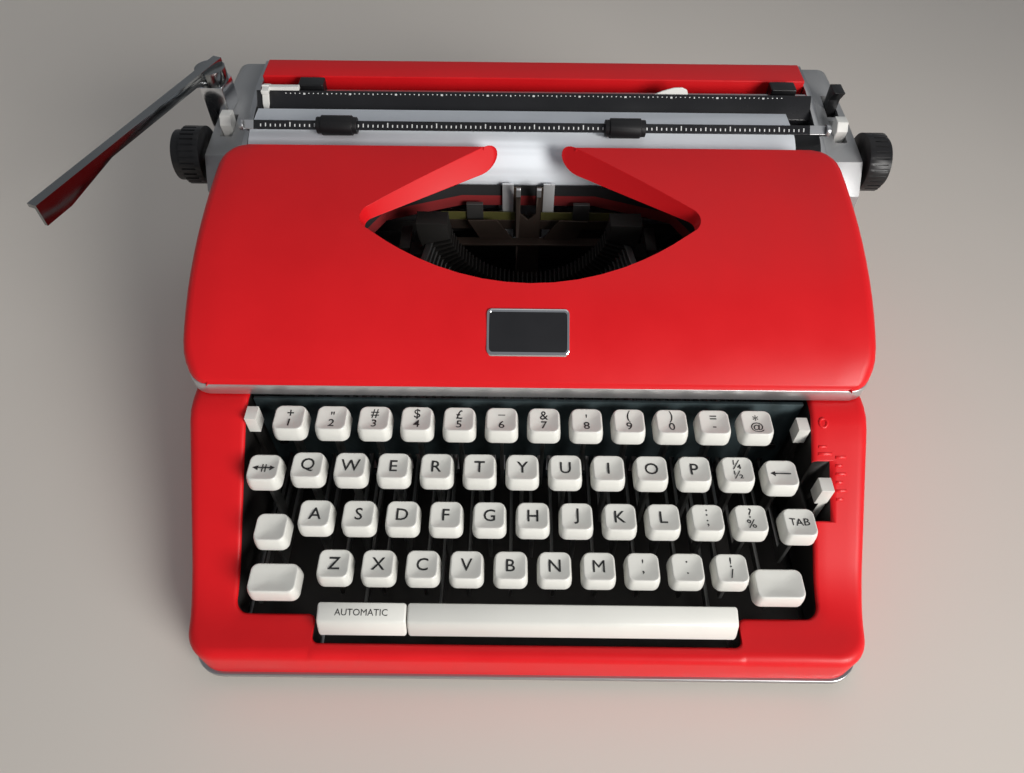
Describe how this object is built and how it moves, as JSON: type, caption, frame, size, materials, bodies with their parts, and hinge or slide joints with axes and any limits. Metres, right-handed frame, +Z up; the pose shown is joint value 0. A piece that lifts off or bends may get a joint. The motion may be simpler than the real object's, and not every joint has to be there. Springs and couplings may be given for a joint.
{
  "type": "manual typewriter",
  "caption": "Portable manual typewriter with a hinged ribbon cover, sprung keys, swinging typebars and a sliding carriage with a turning platen.",
  "frame": {"origin": "on the desk, under the middle of the whole machine's box", "axes": "+X to the typist's right along the platen, +Y to the rear, +Z up"},
  "size_m": [0.4122, 0.317, 0.14],
  "materials": {
    "red_paint": "satin",
    "grey_paint": "satin",
    "steel": "brushed",
    "chrome": "polished",
    "rubber": "matte",
    "ivory_plastic": "glossy",
    "black_plastic": "satin",
    "black_paint": "satin",
    "paper": "matte",
    "ribbon_cloth": "matte"
  },
  "bodies": {
    "body": {"base_plate": "steel", "rubber_feet": "rubber", "lower_case": "red_paint", "side_frames": "steel", "front_crossbar": "steel", "rear_crossbar": "steel", "carriage_rails": "steel", "key_comb": "steel", "key_fulcrum_rod": "steel", "spool_supports": "steel", "type_guide": "steel", "ribbon": "ribbon_cloth", "bell": "chrome"},
    "cover": {"cover": "red_paint", "cover_trim": "chrome"},
    "carriage": {"carriage_frame": "steel", "end_left": "grey_paint", "end_right": "grey_paint", "rear_cover": "red_paint", "paper_table": "black_paint", "paper_sheet": "paper", "lever_bracket": "chrome"},
    "platen": {"platen": "rubber", "platen_shaft": "steel", "knob_left": "black_plastic", "knob_right": "black_plastic"},
    "segment": {"segment": "steel", "typebars": "steel"},
    "margin_stop_left": {"margin_stop_left": "black_plastic"},
    "margin_stop_right": {"margin_stop_right": "black_plastic"},
    "paper_guide": {"paper_guide": "ivory_plastic"},
    "carriage_release_left": {"carriage_release_left": "ivory_plastic"},
    "carriage_release_right": {"carriage_release_right": "ivory_plastic"},
    "paper_release_lever": {"paper_release_lever": "black_plastic"},
    "return_lever": {"return_lever": "chrome"},
    "feed_roller_front": {"feed_roller_front": "rubber"},
    "feed_roller_rear": {"feed_roller_rear": "rubber"},
    "paper_bail": {"paper_bail": "steel"},
    "bail_rollers": {"bail_rollers": "rubber"},
    "typebar_h": {"typebar_h": "chrome"},
    "ribbon_vibrator": {"ribbon_vibrator": "chrome"},
    "spool_left": {"spool_left": "steel"},
    "spool_right": {"spool_right": "steel"},
    "mainspring_drum": {"mainspring_drum": "steel"},
    "escapement_wheel": {"escapement_wheel": "steel"},
    "keys_bottom_row": {"keys_bottom_row": "ivory_plastic"},
    "keys_home_row": {"keys_home_row": "ivory_plastic"},
    "keys_top_row": {"keys_top_row": "ivory_plastic"},
    "keys_number_row": {"keys_number_row": "ivory_plastic"},
    "key_h": {"key_h": "ivory_plastic"},
    "shift_keys": {"shift_keys": "ivory_plastic"},
    "shift_lock": {"shift_lock": "ivory_plastic"},
    "margin_release": {"margin_release": "ivory_plastic"},
    "backspace": {"backspace": "ivory_plastic"},
    "tab_key": {"tab_key": "ivory_plastic"},
    "space_bar": {"space_bar": "ivory_plastic"},
    "automatic_bar": {"automatic_bar": "ivory_plastic"},
    "ribbon_selector": {"ribbon_selector": "ivory_plastic"},
    "tab_lever": {"tab_lever": "ivory_plastic"},
    "touch_lever": {"touch_lever": "ivory_plastic"}
  },
  "joints": [
    {"name": "cover_hinge", "type": "hinge", "parent": "body", "child": "cover", "pos_m": [0.01364, 0.0555, 0.115], "axis": [1, 0, 0], "range_deg": [-60, 0]},
    {"name": "carriage_slide", "type": "slide", "parent": "body", "child": "carriage", "axis": [1, 0, 0], "range_m": [-0.11, 0.11]},
    {"name": "margin_stop_left_slide", "type": "slide", "parent": "carriage", "child": "margin_stop_left", "axis": [1, 0, 0], "range_m": [-0.022, 0.11]},
    {"name": "margin_stop_right_slide", "type": "slide", "parent": "carriage", "child": "margin_stop_right", "axis": [1, 0, 0], "range_m": [-0.13, 0.007]},
    {"name": "paper_guide_slide", "type": "slide", "parent": "carriage", "child": "paper_guide", "axis": [1, 0, 0], "range_m": [0, 0.1]},
    {"name": "carriage_release_left_pivot", "type": "hinge", "parent": "carriage", "child": "carriage_release_left", "pos_m": [-0.15135, 0.1045, 0.101], "axis": [1, 0, 0], "range_deg": [0, 12], "stiffness_Nm_per_rad": 0.05, "springref_deg": -11.46},
    {"name": "carriage_release_right_pivot", "type": "hinge", "parent": "carriage", "child": "carriage_release_right", "pos_m": [0.18365, 0.1045, 0.101], "axis": [1, 0, 0], "range_deg": [0, 12], "stiffness_Nm_per_rad": 0.05, "springref_deg": -11.46},
    {"name": "paper_release_pivot", "type": "hinge", "parent": "carriage", "child": "paper_release_lever", "pos_m": [0.18365, 0.1255, 0.101], "axis": [1, 0, 0], "range_deg": [0, 20]},
    {"name": "return_lever_pivot", "type": "hinge", "parent": "carriage", "child": "return_lever", "pos_m": [-0.15835, 0.1195, 0.134], "axis": [0, 0, 1], "range_deg": [0, 30], "stiffness_Nm_per_rad": 0.2, "springref_deg": -11.46},
    {"name": "platen_turn", "type": "hinge", "parent": "carriage", "child": "platen", "pos_m": [0.01614, 0.0895, 0.104], "axis": [1, 0, 0], "continuous": true},
    {"name": "feed_roller_front_turn", "type": "hinge", "parent": "carriage", "child": "feed_roller_front", "pos_m": [0.01614, 0.07993, 0.08347], "axis": [1, 0, 0], "continuous": true},
    {"name": "feed_roller_rear_turn", "type": "hinge", "parent": "carriage", "child": "feed_roller_rear", "pos_m": [0.01614, 0.10249, 0.08545], "axis": [1, 0, 0], "continuous": true},
    {"name": "paper_bail_pivot", "type": "hinge", "parent": "carriage", "child": "paper_bail", "pos_m": [0.01614, 0.1065, 0.11], "axis": [1, 0, 0], "range_deg": [-60, 0]},
    {"name": "bail_roller_turn", "type": "hinge", "parent": "paper_bail", "child": "bail_rollers", "pos_m": [0.01614, 0.0846, 0.12611], "axis": [1, 0, 0], "continuous": true},
    {"name": "segment_slide", "type": "slide", "parent": "body", "child": "segment", "axis": [0, 0, 1], "range_m": [-0.006, 0], "stiffness_N_per_m": 400, "springref_m": 0.015},
    {"name": "typebar_h_swing", "type": "hinge", "parent": "segment", "child": "typebar_h", "pos_m": [0.01206, 0.0385, 0.05202], "axis": [-0.9995, 0, 0.0304], "range_deg": [0, 129.1]},
    {"name": "vibrator_slide", "type": "slide", "parent": "body", "child": "ribbon_vibrator", "axis": [0, 0, 1], "range_m": [0, 0.01], "deforming": ["ribbon"]},
    {"name": "spool_left_turn", "type": "hinge", "parent": "body", "child": "spool_left", "pos_m": [-0.09435, 0.0065, 0.093], "axis": [0, 0, 1], "continuous": true},
    {"name": "spool_right_turn", "type": "hinge", "parent": "body", "child": "spool_right", "pos_m": [0.12165, 0.0065, 0.093], "axis": [0, 0, 1], "continuous": true},
    {"name": "mainspring_turn", "type": "hinge", "parent": "body", "child": "mainspring_drum", "pos_m": [-0.07136, 0.1015, 0.036], "axis": [0, 1, 0], "continuous": true},
    {"name": "escapement_turn", "type": "hinge", "parent": "body", "child": "escapement_wheel", "pos_m": [0.01364, 0.1075, 0.0611], "axis": [0, 1, 0], "continuous": true},
    {"name": "keys_bottom_row_press", "type": "hinge", "parent": "body", "child": "keys_bottom_row", "pos_m": [0.01364, 0.0465, 0.0245], "axis": [1, 0, 0], "range_deg": [0, 2.7], "stiffness_Nm_per_rad": 2, "springref_deg": -6.88},
    {"name": "keys_home_row_press", "type": "hinge", "parent": "body", "child": "keys_home_row", "pos_m": [0.01364, 0.0465, 0.0245], "axis": [1, 0, 0], "range_deg": [0, 3], "stiffness_Nm_per_rad": 2, "springref_deg": -6.88},
    {"name": "keys_top_row_press", "type": "hinge", "parent": "body", "child": "keys_top_row", "pos_m": [0.01364, 0.0465, 0.0245], "axis": [1, 0, 0], "range_deg": [0, 3.4], "stiffness_Nm_per_rad": 2, "springref_deg": -6.88},
    {"name": "keys_number_row_press", "type": "hinge", "parent": "body", "child": "keys_number_row", "pos_m": [0.01364, 0.0465, 0.0245], "axis": [1, 0, 0], "range_deg": [0, 4], "stiffness_Nm_per_rad": 2, "springref_deg": -6.88},
    {"name": "key_h_press", "type": "hinge", "parent": "body", "child": "key_h", "pos_m": [0.01364, 0.0465, 0.0245], "axis": [1, 0, 0], "range_deg": [0, 3], "stiffness_Nm_per_rad": 0.5, "springref_deg": -6.88},
    {"name": "shift_keys_press", "type": "hinge", "parent": "body", "child": "shift_keys", "pos_m": [0.01364, 0.0465, 0.0245], "axis": [1, 0, 0], "range_deg": [0, 2.6], "stiffness_Nm_per_rad": 0.5, "springref_deg": -6.88},
    {"name": "shift_lock_press", "type": "hinge", "parent": "body", "child": "shift_lock", "pos_m": [0.01364, 0.0465, 0.0245], "axis": [1, 0, 0], "range_deg": [0, 2.6], "stiffness_Nm_per_rad": 0.5, "springref_deg": -6.88},
    {"name": "margin_release_press", "type": "hinge", "parent": "body", "child": "margin_release", "pos_m": [0.01364, 0.0465, 0.0245], "axis": [1, 0, 0], "range_deg": [0, 3.4], "stiffness_Nm_per_rad": 0.5, "springref_deg": -6.88},
    {"name": "backspace_press", "type": "hinge", "parent": "body", "child": "backspace", "pos_m": [0.01364, 0.0465, 0.0245], "axis": [1, 0, 0], "range_deg": [0, 3.4], "stiffness_Nm_per_rad": 0.5, "springref_deg": -6.88},
    {"name": "tab_key_press", "type": "hinge", "parent": "body", "child": "tab_key", "pos_m": [0.01364, 0.0465, 0.0245], "axis": [1, 0, 0], "range_deg": [0, 3], "stiffness_Nm_per_rad": 0.5, "springref_deg": -6.88},
    {"name": "space_bar_press", "type": "hinge", "parent": "body", "child": "space_bar", "pos_m": [0.01364, 0.0465, 0.0245], "axis": [1, 0, 0], "range_deg": [0, 2.4], "stiffness_Nm_per_rad": 0.5, "springref_deg": -6.88},
    {"name": "automatic_bar_press", "type": "hinge", "parent": "body", "child": "automatic_bar", "pos_m": [0.01364, 0.0465, 0.0245], "axis": [1, 0, 0], "range_deg": [0, 2.4], "stiffness_Nm_per_rad": 0.5, "springref_deg": -6.88},
    {"name": "ribbon_selector_pivot", "type": "hinge", "parent": "body", "child": "ribbon_selector", "pos_m": [-0.11535, -0.0635, 0.046], "axis": [1, 0, 0], "range_deg": [-8, 8]},
    {"name": "tab_lever_pivot", "type": "hinge", "parent": "body", "child": "tab_lever", "pos_m": [0.14264, -0.0635, 0.046], "axis": [1, 0, 0], "range_deg": [-8, 8]},
    {"name": "touch_lever_pivot", "type": "hinge", "parent": "body", "child": "touch_lever", "pos_m": [0.14264, -0.0895, 0.034], "axis": [1, 0, 0], "range_deg": [-12, 12]}
  ],
  "couplings": [
    {"joint": "feed_roller_front_turn", "follows": "platen_turn", "ratio": -3.4},
    {"joint": "feed_roller_rear_turn", "follows": "platen_turn", "ratio": -3.4},
    {"joint": "segment_slide", "follows": "shift_keys_press", "m_per_rad": -0.132},
    {"joint": "shift_lock_press", "follows": "shift_keys_press", "ratio": 1},
    {"joint": "typebar_h_swing", "follows": "key_h_press", "ratio": 43},
    {"joint": "vibrator_slide", "follows": "key_h_press", "m_per_rad": 0.19},
    {"joint": "spool_right_turn", "follows": "spool_left_turn", "ratio": 1},
    {"joint": "mainspring_turn", "follows": "carriage_slide", "rad_per_m": 41.667},
    {"joint": "escapement_turn", "follows": "carriage_slide", "rad_per_m": 103.07}
  ]
}
